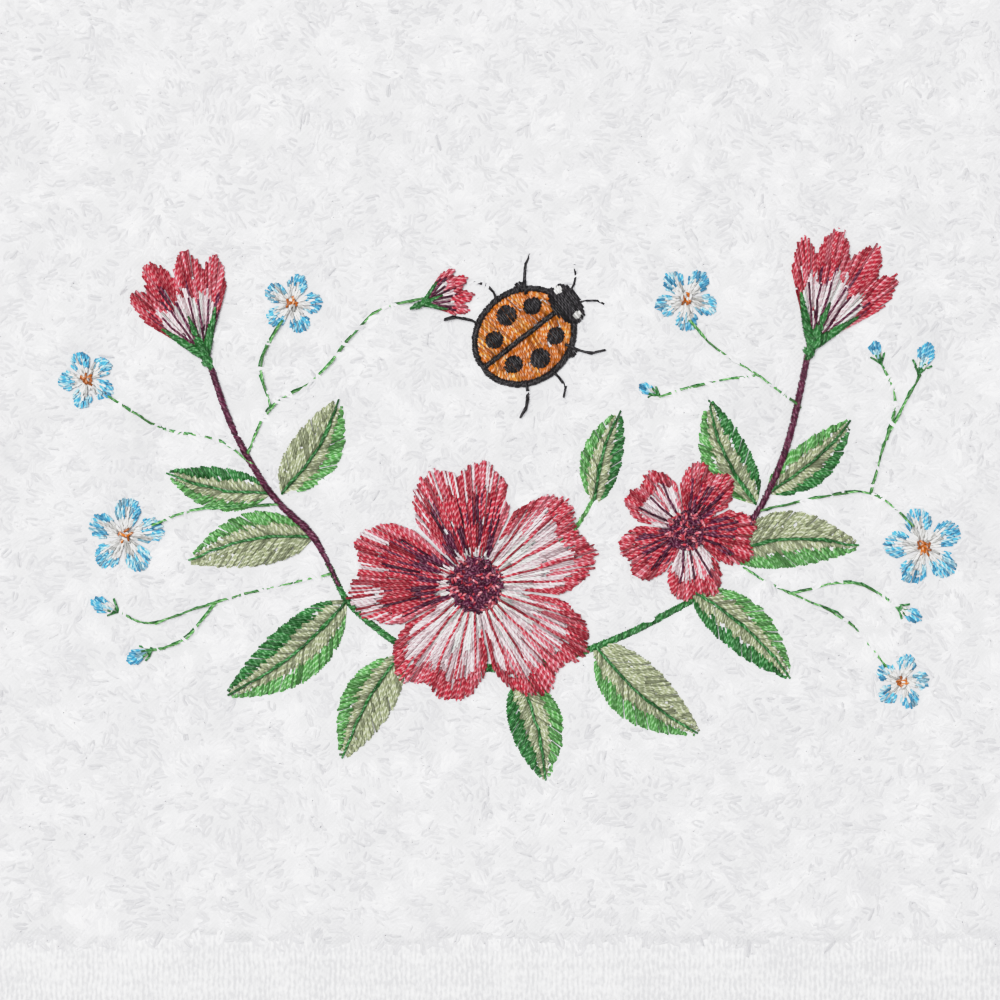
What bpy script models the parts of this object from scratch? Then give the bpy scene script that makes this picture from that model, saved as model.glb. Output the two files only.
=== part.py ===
"""A terry hand towel lying flat on a surface.

It is woven in one piece: a field of looped pile, a flat dobby band and a strip of pile at each end, a narrow
flat selvedge down each side, and a hem folded over at each end. The underside rests flat at z = 0. X runs
across the towel, Y along it towards the plain end, and the origin is the middle of the underside.
"""

import bisect
import math

import bmesh
import bpy

MM = 0.001  # the sizes below are in millimetres

CLOTH_WIDTH = 406.0  # across, selvedge to selvedge
CLOTH_LENGTH = 711.0  # hem fold to hem fold
PILE_HEIGHT = 5.0  # both faces of loops and the ground weave between them
SELVEDGE_WIDTH = 6.0
SELVEDGE_HEIGHT = 1.7
PILE_EDGE = 1.6  # the loops fall to the flat weave within this distance
ROUNDING = 0.7  # the width of the rounded rim all round
RIM_SHARE = 0.45  # the rim's height, as a share of the cloth's beside it

# The woven zones at each end, from the hem fold inwards. Between the two ends lies the field of pile.
#   zone, length along the towel, height of its top, how far its side edges draw in
END_ZONES = (
    ("hem", 14.0, 3.2, 0.6),
    ("end_pile", 40.0, PILE_HEIGHT, 0.0),
    ("dobby_band", 42.0, 1.9, 2.4),
)
DRAW_IN_LENGTH = 9.0  # a drawn-in side edge runs out to its neighbour's over this length

FIELD_STEP = 22.0  # the longest facet in the field of pile
# The pile lies slightly uneven and the side edges waver, each a sum of slow waves:
#   wavelength across, wavelength along, phase in degrees, height of the wave
SWELLS = (
    (168.0, 251.0, 20.0, 0.16),
    (-97.0, 139.0, 145.0, 0.12),
    (71.0, -88.0, 260.0, 0.08),
)
#   wavelength along, phase in degrees, sideways reach
SIDE_WAVES = (
    (233.0, 40.0, 0.50),
    (101.0, 200.0, 0.30),
)

SHADED_SHARP = 35.0  # edges that fold by more than this many degrees are shaded sharp
COTTON_COLOUR = (0.84, 0.84, 0.85, 1.0)
COTTON_ROUGHNESS = 0.95


def clear_scene():
    for thing in list(bpy.data.objects):
        bpy.data.objects.remove(thing, do_unlink=True)


def smooth_step(share):
    share = min(max(share, 0.0), 1.0)
    return share * share * (3.0 - 2.0 * share)


def zone_borders():
    """The distance from the hem fold at which each end zone stops."""
    borders, reached = [], 0.0
    for _, length, _, _ in END_ZONES:
        reached += length
        borders.append(reached)
    return borders


BORDERS = zone_borders()


def zone_at(from_end):
    """The index of the zone this far from the nearer hem fold. Past the last one it is the field."""
    return bisect.bisect_right(BORDERS, from_end)


def zone_height(index):
    return END_ZONES[index][2] if index < len(END_ZONES) else PILE_HEIGHT


def zone_draw_in(index):
    return END_ZONES[index][3] if index < len(END_ZONES) else 0.0


def is_pile(index):
    return zone_height(index) == PILE_HEIGHT


def between_zones(from_end, value, reach):
    """A zone's value, run smoothly into the next zone's over a length of reach about their border."""
    index = zone_at(from_end)
    result = value(index)
    for border_index, border in enumerate(BORDERS):
        away = from_end - border
        if abs(away) < reach / 2:
            share = smooth_step(away / reach + 0.5)
            result = value(border_index) * (1.0 - share) + value(border_index + 1) * share
    return result


def swell(x, y):
    total = 0.0
    for across, along, phase, height in SWELLS:
        total += height * math.sin(math.tau * (x / across + y / along) + math.radians(phase))
    return total


def half_width(y, side):
    """How far the side edge lies from the middle, with the bands drawn in and the edge wavering."""
    from_end = CLOTH_LENGTH / 2 - abs(y)
    waver = 0.0
    for wavelength, phase, reach in SIDE_WAVES:
        waver += reach * math.sin(math.tau * y / wavelength + math.radians(phase * side))
    return CLOTH_WIDTH / 2 - between_zones(from_end, zone_draw_in, DRAW_IN_LENGTH) + waver


def top_height(from_side, x, y):
    """The height of the cloth's upper surface."""
    from_end = CLOTH_LENGTH / 2 - abs(y)
    height = between_zones(from_end, zone_height, PILE_EDGE)
    in_pile = between_zones(from_end, is_pile, PILE_EDGE)
    from_selvedge = smooth_step((from_side - SELVEDGE_WIDTH) / PILE_EDGE + 0.5)
    flat = SELVEDGE_HEIGHT * in_pile + height * (1.0 - in_pile)
    height = flat + (height - flat) * from_selvedge + swell(x, y) * in_pile * from_selvedge
    nearest_rim = min(from_side, from_end)
    return height * (RIM_SHARE + (1.0 - RIM_SHARE) * smooth_step(nearest_rim / ROUNDING))


def stations(half, borders, step):
    """Distances from the middle line, both ways, at which the surface gets a row of points."""
    inner = half - borders[-1] - PILE_EDGE / 2
    steps = math.ceil(inner / step)
    found = {round(inner * i / steps, 4) for i in range(steps + 1)}
    for border in borders:
        found |= {round(half - border + PILE_EDGE * share, 4) for share in (-0.5, 0.0, 0.5)}
        found.add(round(half - border + DRAW_IN_LENGTH / 2, 4))
    found |= {round(half - ROUNDING, 4), half}
    return sorted({-value for value in found} | found)


def towel_mesh():
    columns = stations(CLOTH_WIDTH / 2, [SELVEDGE_WIDTH], FIELD_STEP)
    rows = stations(CLOTH_LENGTH / 2, BORDERS, FIELD_STEP)
    cloth = bmesh.new()
    bmesh.ops.create_grid(cloth, x_segments=len(columns) - 1, y_segments=len(rows) - 1, size=1.0)
    # The grid's points are turned into column and row numbers, and then put where the cloth's outline says.
    grid_step = (2.0 / (len(columns) - 1), 2.0 / (len(rows) - 1))
    for point in cloth.verts:
        column = columns[round((point.co.x + 1.0) / grid_step[0])]
        y = rows[round((point.co.y + 1.0) / grid_step[1])]
        side = math.copysign(1.0, column)
        from_side = CLOTH_WIDTH / 2 - abs(column)
        edge = half_width(y, side)
        # The drawn-in edge takes the cloth beside it along, less and less towards the middle.
        x = column * edge / (CLOTH_WIDTH / 2)
        point.co = (x, y, top_height(from_side, x, y))

    # The upper surface is closed with walls and a flat underside.
    upper = list(cloth.faces)
    below = bmesh.ops.extrude_face_region(cloth, geom=upper, use_keep_orig=True)["geom"]
    for point in below:
        if isinstance(point, bmesh.types.BMVert):
            point.co.z = 0.0
    underside = {face for face in below if isinstance(face, bmesh.types.BMFace)}
    inner_edges = {edge for face in underside for edge in face.edges if underside.issuperset(edge.link_faces)}
    bmesh.ops.dissolve_edges(cloth, edges=list(inner_edges), use_verts=True)
    bmesh.ops.recalc_face_normals(cloth, faces=cloth.faces)
    bmesh.ops.scale(cloth, vec=(MM, MM, MM), verts=cloth.verts)
    mesh = bpy.data.meshes.new("towel")
    cloth.to_mesh(mesh)
    cloth.free()
    mesh.shade_smooth()
    mesh.set_sharp_from_angle(angle=math.radians(SHADED_SHARP))
    return mesh


def cotton():
    material = bpy.data.materials.new("white_cotton")
    material.use_nodes = True
    surface = material.node_tree.nodes["Principled BSDF"]
    surface.inputs["Base Color"].default_value = COTTON_COLOUR
    surface.inputs["Roughness"].default_value = COTTON_ROUGHNESS
    surface.inputs["Metallic"].default_value = 0.0
    return material


def main():
    clear_scene()
    mesh = towel_mesh()
    mesh.materials.append(cotton())
    towel = bpy.data.objects.new("towel", mesh)
    bpy.context.scene.collection.objects.link(towel)


main()
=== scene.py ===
"""The looks of a white terry hand towel that lies flat, seen from straight above its embroidered end.

Sizes are in millimetres until a mesh is made. X runs across the towel and Y along it towards the plain end.
"""

import math

import bmesh
import bpy
import numpy as np
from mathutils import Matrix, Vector
from mathutils.bvhtree import BVHTree


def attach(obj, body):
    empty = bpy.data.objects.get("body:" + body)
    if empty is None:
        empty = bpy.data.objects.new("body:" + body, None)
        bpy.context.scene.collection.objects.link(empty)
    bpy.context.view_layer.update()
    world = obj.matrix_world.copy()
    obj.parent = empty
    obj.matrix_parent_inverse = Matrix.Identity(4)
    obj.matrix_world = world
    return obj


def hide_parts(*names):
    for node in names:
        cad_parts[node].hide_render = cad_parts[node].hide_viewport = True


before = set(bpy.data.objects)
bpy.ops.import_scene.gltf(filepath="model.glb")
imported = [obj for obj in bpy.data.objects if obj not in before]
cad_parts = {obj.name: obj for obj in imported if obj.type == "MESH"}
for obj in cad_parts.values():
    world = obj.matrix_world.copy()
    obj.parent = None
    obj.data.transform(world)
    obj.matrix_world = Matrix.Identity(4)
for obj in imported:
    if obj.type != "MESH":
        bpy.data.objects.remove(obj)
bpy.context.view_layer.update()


# ---- The ground cloth ----------------------------------------------------------------------------
# The towel is one length of cotton terry, woven as a firm ground with a flat selvedge down each side.
# Its two ends are folded over and stitched down as hems. The pile of its back is pressed flat by the
# cloth's own weight.

MM = 0.001
HEM = 14.0  # the zones at each end, from the fold inwards
END_PILE = 40.0
BAND = 42.0
SELVEDGE = 6.0
LOOP_STANDS = 0.95  # how far the pile stands over the ground weave
BAND_BED = 0.4  # and a dobby band's ribs over what lies beneath them
ZONE_EDGE = 1.6  # one zone's height runs into the next over this length
EDGE_WANDER = 0.6  # the pile's edges across the towel wander by about this much
WANDER_STARTS = 5.0  # from this far inside a hem, and fully this much further
WANDER_GROWS = 10.0
GROUND_STEP = 3.4
GROUND_UNEVEN = 0.12
RIM_LINES = (0.0, 0.25, 0.8)  # rows of points this far in from an edge, where the cloth is rounded
BORDER_LINE = 0.8  # and this far apart about a band's border
HEM_STITCH_IN = 2.2  # the hem's stitching lies this far inside its inner edge
HEM_DIP = 0.45  # how deep it dents the cloth, and how far to its sides
HEM_DIP_REACH = 0.8
HEM_PUCKER = 0.16  # how high the hem puckers beside it, over which length, and how far to its sides
HEM_PUCKER_LENGTH = 17.0
HEM_PUCKER_REACH = 5.0
HEM_PUCKER_SWAY = 3.0  # in radians
WEAVE_PITCH = 0.9
WEAVE_RELIEF = 0.12
# The ground's white is duller than the brightest loops: beneath the pile that is painted shade of the deep
# loops.
COTTON = (0.80, 0.80, 0.82, 1.0)
COTTON_PAINTED_SHADE = 0.72  # the share of that colour in its patches of painted shade
COTTON_SHADE_PATCHES = 170.0  # the scales of its noises, to a metre: its patches of painted shade, and its fuzz
COTTON_FUZZ = 2500.0

solid_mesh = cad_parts["towel"].data
solid_points = np.array([point.co for point in solid_mesh.vertices]) / MM
solid_faces = [tuple(face.vertices) for face in solid_mesh.polygons]
solid_tree = BVHTree.FromPolygons(solid_points.tolist(), solid_faces)
half_length = float(solid_points[:, 1].max())
edge_rows = np.unique(np.round(solid_points[:, 1], 2))
row_of_point = np.searchsorted(edge_rows, np.round(solid_points[:, 1], 2))
left_edges = np.array([solid_points[row_of_point == row, 0].min() for row in range(len(edge_rows))])
right_edges = np.array([solid_points[row_of_point == row, 0].max() for row in range(len(edge_rows))])


def left_edge(y):
    return np.interp(y, edge_rows, left_edges)


def right_edge(y):
    return np.interp(y, edge_rows, right_edges)


def cloth_top(x, y):
    """The height of the solid towel's upper face, which is the average height of the loops."""
    above, inside = 20.0, 0.05
    x = np.clip(x, left_edge(y) + inside, right_edge(y) - inside)
    y = np.clip(y, inside - half_length, half_length - inside)
    found = []
    for px, py in zip(x.tolist(), y.tolist()):
        hit = solid_tree.ray_cast(Vector((px, py, above)), Vector((0.0, 0.0, -1.0)))[0]
        found.append((hit or solid_tree.find_nearest(Vector((px, py, above)))[0]).z)
    return np.array(found)


def smooth_step(share):
    share = np.clip(share, 0.0, 1.0)
    return share * share * (3.0 - 2.0 * share)


def strayed(x, y):
    """y, shifted so that the edges of the pile across the towel wander a little. The hems stay straight."""
    from_end = half_length - np.abs(y)
    grown = smooth_step((from_end - HEM - WANDER_STARTS) / WANDER_GROWS)
    return y + EDGE_WANDER * drift(x, y, size=5.0, seed=27) * grown


def band_share(x, y, reach=ZONE_EDGE):
    """1 in a dobby band and 0 outside it, running smoothly from one to the other."""
    from_end = half_length - np.abs(strayed(x, y))
    past_strip = smooth_step((from_end - HEM - END_PILE) / reach + 0.5)
    return past_strip - smooth_step((from_end - HEM - END_PILE - BAND) / reach + 0.5)


def pile_share(x, y, reach=ZONE_EDGE):
    """1 where the towel is pile and 0 where it is woven flat, running smoothly from one to the other."""
    from_end = half_length - np.abs(strayed(x, y))
    from_side = np.minimum(x - left_edge(y), right_edge(y) - x)
    past_hem = smooth_step((from_end - HEM) / reach + 0.5)
    return (past_hem - band_share(x, y, reach)) * smooth_step((from_side - SELVEDGE) / reach + 0.5)


def drift(x, y, size, seed):
    """A smooth uneven field, mostly from -1.5 to 1.5, whose patches are about this size."""
    waves = 9
    chance = np.random.default_rng(seed)
    total = np.zeros(np.shape(x))
    for _ in range(waves):
        way, phase = chance.uniform(0.0, math.tau, 2)
        wavelength = size * chance.uniform(1.5, 3.0)
        total += np.sin((x * math.cos(way) + y * math.sin(way)) * math.tau / wavelength + phase)
    return total / math.sqrt(waves / 2)


def ground_top(x, y):
    """The height of the woven ground, from which the loops stand."""
    from_end = half_length - np.abs(y)
    from_stitching = from_end - (HEM - HEM_STITCH_IN)
    in_hem = 1.0 - smooth_step((from_end - HEM) / ZONE_EDGE + 0.5)
    dip = HEM_DIP * np.exp(-((from_stitching / HEM_DIP_REACH) ** 2))
    sway = HEM_PUCKER_SWAY * drift(x, y, size=60.0, seed=5)
    pucker = HEM_PUCKER * np.sin(math.tau * x / HEM_PUCKER_LENGTH + sway)
    near_stitching = np.exp(-((from_stitching / HEM_PUCKER_REACH) ** 2))
    below_top = LOOP_STANDS * pile_share(x, y) + BAND_BED * band_share(x, y)
    return cloth_top(x, strayed(x, y)) - below_top + in_hem * (pucker * near_stitching - dip)


def add_node(tree, kind, inputs=(), **settings):
    """A new node with these settings. Each input is a value, or another node's output to link."""
    node = tree.nodes.new(kind)
    for name, value in settings.items():
        setattr(node, name, value)
    for name, value in dict(inputs).items():
        if isinstance(value, bpy.types.NodeSocket):
            tree.links.new(value, node.inputs[name])
        else:
            node.inputs[name].default_value = value
    return node


def worked_out(tree, operation, *values, clamp=False):
    """What a new node makes of these values, each of which may be another node's output."""
    inputs = dict(enumerate(values))
    return add_node(tree, "ShaderNodeMath", inputs, operation=operation, use_clamp=clamp).outputs[0]


def noise(tree, place, scale, detail, inputs=(), **settings):
    inputs = {"Vector": place, "Scale": scale, "Detail": detail, **dict(inputs)}
    return add_node(tree, "ShaderNodeTexNoise", inputs, **settings).outputs["Fac"]


def mixed(tree, share, low, high):
    """A colour between two others: the low one at a share of 0 and the high one at 1."""
    ends = {"Factor": share, "A": low, "B": high}
    return add_node(tree, "ShaderNodeMix", ends, data_type="RGBA").outputs["Result"]


def add_relief(tree, shader, height, distance, strength=0.5):
    """Gives a material the relief of single fibres, too fine to be modelled."""
    bump = {"Height": height, "Strength": strength, "Distance": distance * MM}
    tree.links.new(add_node(tree, "ShaderNodeBump", bump).outputs["Normal"], shader.inputs["Normal"])


def new_material(name, roughness, sheen=0.0):
    """A material, its node tree and its Principled shader."""
    material = bpy.data.materials.new(name)
    material.use_nodes = True
    shader = material.node_tree.nodes["Principled BSDF"]
    shader.inputs["Roughness"].default_value = roughness
    shader.inputs["Sheen Weight"].default_value = sheen
    return material, material.node_tree, shader


def woven_cotton():
    """White plain weave: over-and-under yarns at the weave's pitch, with patches of painted shade that make
    its tone slightly uneven.
    """
    material, tree, shader = new_material("woven_cotton", roughness=0.9, sheen=0.2)
    place = add_node(tree, "ShaderNodeTexCoord").outputs["Object"]
    # Painted shade: a cloudy noise dulls the ground in patches.
    clouds = noise(tree, place, COTTON_SHADE_PATCHES, 5.0, {"Roughness": 0.8})
    painted_shade_share = add_node(tree, "ShaderNodeMapRange", {"Value": clouds, "From Min": 0.3, "From Max": 0.7})
    shaded = (*(COTTON_PAINTED_SHADE * part for part in COTTON[:3]), 1.0)
    tree.links.new(mixed(tree, painted_shade_share.outputs["Result"], shaded, COTTON), shader.inputs["Base Color"])
    turns = {0: place, "Scale": math.tau / (WEAVE_PITCH * MM)}
    turns = add_node(tree, "ShaderNodeVectorMath", turns, operation="SCALE").outputs["Vector"]
    parts = add_node(tree, "ShaderNodeSeparateXYZ", {"Vector": turns})
    across, along = (worked_out(tree, "SINE", parts.outputs[axis]) for axis in "XY")
    crossing = worked_out(tree, "MULTIPLY", across, along)
    fuzz = noise(tree, place, COTTON_FUZZ, 2.0)
    add_relief(tree, shader, worked_out(tree, "ADD", crossing, fuzz), WEAVE_RELIEF)
    return material


def stepped(lines, step):
    """Positions from the first line to the last, each gap cut into equal steps no longer than step."""
    found = []
    for start, end in zip(lines, lines[1:]):
        count = math.ceil((end - start) / step - 1e-6)
        found += np.linspace(start, end, count, endpoint=False).tolist()
    return np.array(found + [lines[-1]])


def closed_sheet(columns, rows, place, under=0.0):
    """A closed sheet: a grid whose points go where place puts them, with walls and a flat underside."""
    sheet = bmesh.new()
    bmesh.ops.create_grid(sheet, x_segments=len(columns) - 1, y_segments=len(rows) - 1, size=1.0)
    flat = np.array([point.co for point in sheet.verts])
    column = np.round((flat[:, 0] + 1.0) * (len(columns) - 1) / 2.0).astype(int)
    row = np.round((flat[:, 1] + 1.0) * (len(rows) - 1) / 2.0).astype(int)
    for point, spot in zip(sheet.verts, place(columns[column], rows[row])):
        point.co = spot
    border = [edge for edge in sheet.edges if edge.is_boundary]
    for point in bmesh.ops.extrude_edge_only(sheet, edges=border)["geom"]:
        if isinstance(point, bmesh.types.BMVert):
            point.co.z = under
    bmesh.ops.holes_fill(sheet, edges=[edge for edge in sheet.edges if edge.is_boundary], sides=0)
    bmesh.ops.recalc_face_normals(sheet, faces=sheet.faces)
    return sheet


def add_piece(name, shape, material):
    """Turns a bmesh or a mesh in millimetres into a piece of the towel, in metres."""
    if isinstance(shape, bmesh.types.BMesh):
        mesh = bpy.data.meshes.new(name)
        shape.to_mesh(mesh)
        shape.free()
    else:
        mesh = shape
    mesh.transform(((MM, 0, 0, 0), (0, MM, 0, 0), (0, 0, MM, 0), (0, 0, 0, 1)))
    mesh.shade_smooth()
    for one in material if isinstance(material, list) else [material]:
        mesh.materials.append(one)
    piece = bpy.data.objects.new(name, mesh)
    bpy.context.scene.collection.objects.link(piece)
    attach(piece, "root")
    return piece


def ground_place(column, y):
    """Where a point of the ground goes. column runs from -1 at the left edge to 1 at the right one."""
    x = left_edge(y) + (column + 1.0) / 2.0 * (right_edge(y) - left_edge(y))
    uneven = GROUND_UNEVEN * drift(x, y, size=9.0, seed=3) * pile_share(x, y)
    return np.stack([x, y, ground_top(x, y) + uneven], axis=1)


half_width = (right_edge(0.0) - left_edge(0.0)) / 2
hem_lines = [HEM - HEM_STITCH_IN + beside for beside in (-1.0, 0.0, 1.0)]
side_lines = [*RIM_LINES, SELVEDGE - ZONE_EDGE / 2, SELVEDGE + ZONE_EDGE / 2]
end_lines = [*RIM_LINES, 2.0, *hem_lines, HEM - ZONE_EDGE / 2, HEM + ZONE_EDGE / 2]
for border in (HEM + END_PILE, HEM + END_PILE + BAND):
    end_lines += [border + BORDER_LINE * number for number in range(-3, 4)]
to_side = np.array(side_lines) / half_width - 1.0
to_end = np.array(end_lines) - half_length
ground_columns = stepped(np.concatenate([to_side, -to_side[::-1]]), GROUND_STEP / half_width)
ground_rows = stepped(np.concatenate([to_end, -to_end[::-1]]), GROUND_STEP)
ground_shape = closed_sheet(ground_columns, ground_rows, ground_place)
ground = add_piece("towel_ground", ground_shape, woven_cotton())
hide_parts("towel")


# ---- The dobby bands -----------------------------------------------------------------------------
# Near each end a strip is woven without loops. Its warp ends lie in fine ribs that run along the
# towel, crossed every few picks by a slightly sunken row. It lies lower than the pile on both of its
# sides.

RIB_PITCH = 0.942  # two ribs to a reed dent
RIB_HEIGHT = 0.38
RIB_WAVER = 9.0  # in radians
RIB_TONES = ((0.55, 0.55, 0.57, 1.0), (0.97, 0.97, 0.98, 1.0))  # the darkest and the brightest; the darkest is reached in the painted shade of the grooves
RIB_TONE = 0.40  # how bright the yarn is on average, from the one to the other
RIB_CREST_PAINTED_LIGHT = 0.24  # and how strongly that varies with the crests and the rows, painted lighter on top and darker in the grooves and sunken rows as painted light and shade, and with the dashes and the patches
RIB_ROW_PAINTED_SHADE = 0.08
RIB_DASH = 2.4
RIB_CLOUD = 1.0
RIB_NOISES = (260.0, 1600.0, 130.0)  # the scales of the waver, the dashes and the patches, to a metre
DASH_STRETCH = (1.0, 0.6, 1.0)
BAND_ROW = 2.96
BAND_ROW_DIP = 0.09
BAND_ROW_STEP = 0.99
BAND_ROW_SWAY = 0.4  # in radians
# The band's own unevenness: its height, the size of its patches and the seed of their places
BAND_UNEVEN = ((0.03, 1.3, 13), (0.05, 8.0, 14))
BAND_SEEN = 15.0  # this far from the field its rows are seen closely; further away they are coarser
BAND_COARSE_STEP = 2.5
BAND_TOP = 1.95
BAND_INSET = 0.5  # its sides stay this far inside the selvedges
BAND_UNDER = 3.0  # how far it runs on beneath the pile
BAND_SINKS = 0.9  # how far it goes down there, and so below the selvedges
BAND_RIM = 0.35  # how far its sides go down
BAND_BACK = 0.6  # the height of its own back, inside the ground cloth


def band_place(column, y):
    """Where a point of a band goes. column counts ribs from the towel's middle."""
    x = column * RIB_PITCH
    rib = np.cos(math.tau * column) * RIB_HEIGHT / 2
    row = BAND_ROW_DIP * np.cos(math.tau * y / BAND_ROW + BAND_ROW_SWAY * drift(x, y, size=14.0, seed=12))
    uneven = sum(height * drift(x, y, size, seed) for height, size, seed in BAND_UNEVEN)
    inside = np.minimum(x - left_edge(y), right_edge(y) - x) > BAND_INSET / 2
    x = np.clip(x, left_edge(y) + BAND_INSET, right_edge(y) - BAND_INSET)
    sunk = BAND_SINKS * (1.0 - band_share(x, y))
    return np.stack([x, y, BAND_TOP - sunk + np.where(inside, rib + row + uneven, -BAND_RIM)], axis=1)


def ribbed_cotton():
    """White warp ribs that waver a little, painted brighter along their crests and darker in their grooves
    and sunken rows as painted light and shade, and broken by short dashes.
    """
    material, tree, shader = new_material("ribbed_cotton", roughness=0.9, sheen=0.2)
    place = add_node(tree, "ShaderNodeTexCoord").outputs["Object"]
    parts = add_node(tree, "ShaderNodeSeparateXYZ", {"Vector": place})
    waver_scale, dash_scale, cloud_scale = RIB_NOISES
    waver = worked_out(tree, "MULTIPLY", noise(tree, place, waver_scale, 1.0), RIB_WAVER)
    turns = worked_out(tree, "MULTIPLY_ADD", parts.outputs["X"], math.tau / (RIB_PITCH * MM), waver)
    # Painted light and shade: the ribs' crests are painted lighter and their grooves darker, and so are the
    # raised and the sunken rows.
    painted_crest_light = worked_out(tree, "COSINE", turns)
    picks = worked_out(tree, "MULTIPLY", parts.outputs["Y"], math.tau / (BAND_ROW * MM))
    row = worked_out(tree, "COSINE", picks)
    stretched = add_node(tree, "ShaderNodeVectorMath", {0: place, 1: DASH_STRETCH}, operation="MULTIPLY")
    dashes = noise(tree, stretched.outputs["Vector"], dash_scale, 2.0)
    clouds = noise(tree, place, cloud_scale, 3.0)
    # A noise is 0.5 on average, so half of its strength comes off again.
    share = worked_out(tree, "MULTIPLY_ADD", clouds, RIB_CLOUD, RIB_TONE - (RIB_CLOUD + RIB_DASH) / 2)
    share = worked_out(tree, "MULTIPLY_ADD", dashes, RIB_DASH, share)
    share = worked_out(tree, "MULTIPLY_ADD", row, RIB_ROW_PAINTED_SHADE, share)
    share = worked_out(tree, "MULTIPLY_ADD", painted_crest_light, RIB_CREST_PAINTED_LIGHT, share, clamp=True)
    tree.links.new(mixed(tree, share, *RIB_TONES), shader.inputs["Base Color"])
    return material


rib_cotton = ribbed_cotton()
for end, name in ((-1, "dobby_band_embroidered_end"), (1, "dobby_band_plain_end")):
    from_strip = (-BAND_UNDER, BAND + BAND_UNDER)
    near, far = sorted(end * (half_length - HEM - END_PILE - reach) for reach in from_strip)
    ribs = int((half_width - BAND_INSET) / RIB_PITCH)
    band_columns = np.arange(-2 * ribs, 2 * ribs + 1) / 2.0
    seen_from = far - BAND_SEEN if end < 0 else far
    band_rows = stepped(np.array([near, seen_from]), BAND_COARSE_STEP)
    if end < 0:
        band_rows = np.append(band_rows[:-1], stepped(np.array([seen_from, far]), BAND_ROW_STEP))
    band_shape = closed_sheet(band_columns, band_rows, band_place, BAND_BACK)
    add_piece(name, band_shape, rib_cotton)


# ---- The hem stitching ---------------------------------------------------------------------------
# Each hem is held by one row of white lockstitch, sewn by machine through all of its layers, close to
# its inner edge. The thread is pulled tight, so every stitch dents the cloth a little and the hem
# puckers between them.

HEM_STITCH = 2.5
HEM_STITCH_GAP = 0.45
HEM_THREAD = 0.22  # half its thickness
HEM_LIFT = 0.6  # how far its middle lies above the cloth, dives and arches up, as shares of that half
HEM_DIVE = 2.0
HEM_ARCH = 0.4
HEM_ROW_ENDS = 2.0  # the row stops this far from the selvedges
HEM_THREAD_TONES_AND_GLINT = ((0.84, 0.84, 0.85), (0.90, 0.90, 0.91), (0.96, 0.96, 0.96))  # dark, usual and the colour of its painted glint
BAKE_MARGIN = 0.1  # the share of its cell that a thread's map leaves free on each side
PLY_PAINTED_GLINT = (0.1, 0.9)  # the part of a ply's swell that gets a painted glint
PLY_STARTS = 50.0  # the plies of stitches of different tones start up to this many radians apart
STITCH_TURN = 0.3  # a stitch bends down this near to its ends, or this share of its length
STITCH_TURN_SHARE = 0.25


def thread_mesh(name, paths, radii, across, tones, slots=None):
    """A mesh of closed three-sided threads, pointed at both ends, with their flat sides up.

    paths holds each thread's points, radii its half thickness at all but the two ends, across the direction
    that its flat side faces, and tones a number from 0 to 1. The mesh has the tone as an attribute, a map
    named yarn with the millimetres along and the turns around each thread, and a map that gives each thread
    a cell of its own.
    """
    count, steps = paths.shape[:2]
    tangent = paths[:, 2:] - paths[:, :-2]
    tangent /= np.linalg.norm(tangent, axis=2, keepdims=True) + 1e-9
    side = np.cross(tangent, across[:, None])
    side /= np.linalg.norm(side, axis=2, keepdims=True) + 1e-9
    other = np.cross(side, tangent)
    turn = math.tau * (np.arange(3) / 3 - 0.25)
    ring = np.cos(turn)[:, None] * side[:, :, None] + np.sin(turn)[:, None] * other[:, :, None]
    rings = paths[:, 1:-1, None] + radii[:, :, None, None] * ring
    points = np.concatenate([paths[:, :1], rings.reshape(count, -1, 3), paths[:, -1:]], axis=1)

    # One thread's triangles, and for each of their corners the step along it and the share around it
    last = 3 * (steps - 2) + 1
    corners, steps_along, turns_around = [], [], []
    for k in range(3):
        a, b = k, (k + 1) % 3
        corners.append((0, 1 + a, 1 + b))
        steps_along.append((0, 1, 1))
        turns_around.append((k + 0.5, k, k + 1))
        for s in range(steps - 3):
            low, high = 1 + 3 * s, 4 + 3 * s
            corners += [(low + a, high + b, low + b), (low + a, high + a, high + b)]
            steps_along += [(s + 1, s + 2, s + 1), (s + 1, s + 2, s + 2)]
            turns_around += [(k, k + 1, k + 1), (k, k, k + 1)]
        corners.append((last - 3 + b, last - 3 + a, last))
        steps_along.append((steps - 2, steps - 2, steps - 1))
        turns_around.append((k + 1, k, k + 0.5))
    corners, steps_along = np.array(corners), np.array(steps_along)
    around = np.array(turns_around) / 3.0
    faces = (corners + (np.arange(count) * (last + 1))[:, None, None]).reshape(-1, 3)
    mesh = bpy.data.meshes.new(name)
    mesh.from_pydata(points.reshape(-1, 3), [], faces)

    run = np.cumsum(np.linalg.norm(np.diff(paths, axis=1), axis=2), axis=1)
    run = np.concatenate([np.zeros((count, 1)), run], axis=1)
    along = run[:, steps_along]
    yarn = np.stack([along, np.broadcast_to(around, along.shape)], axis=-1)
    mesh.uv_layers.new(name="yarn").uv.foreach_set("vector", yarn.astype(np.float32).ravel())
    cells = math.ceil(math.sqrt(count))
    cell = np.stack(np.divmod(np.arange(count), cells), axis=1)[:, None, None]
    inside = np.stack([steps_along / (steps - 1), around], axis=-1)
    inside = inside * (1.0 - 2.0 * BAKE_MARGIN) + BAKE_MARGIN
    bake = (cell + inside[None]) / cells
    mesh.uv_layers.new(name="OFBake").uv.foreach_set("vector", bake.astype(np.float32).ravel())
    tone = mesh.attributes.new("tone", "FLOAT", "POINT")
    tone.data.foreach_set("value", np.repeat(tones, last + 1).astype(np.float32))
    if slots is not None:
        mesh.polygons.foreach_set("material_index", np.repeat(slots, len(corners)).astype(np.int32))
    return mesh


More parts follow.
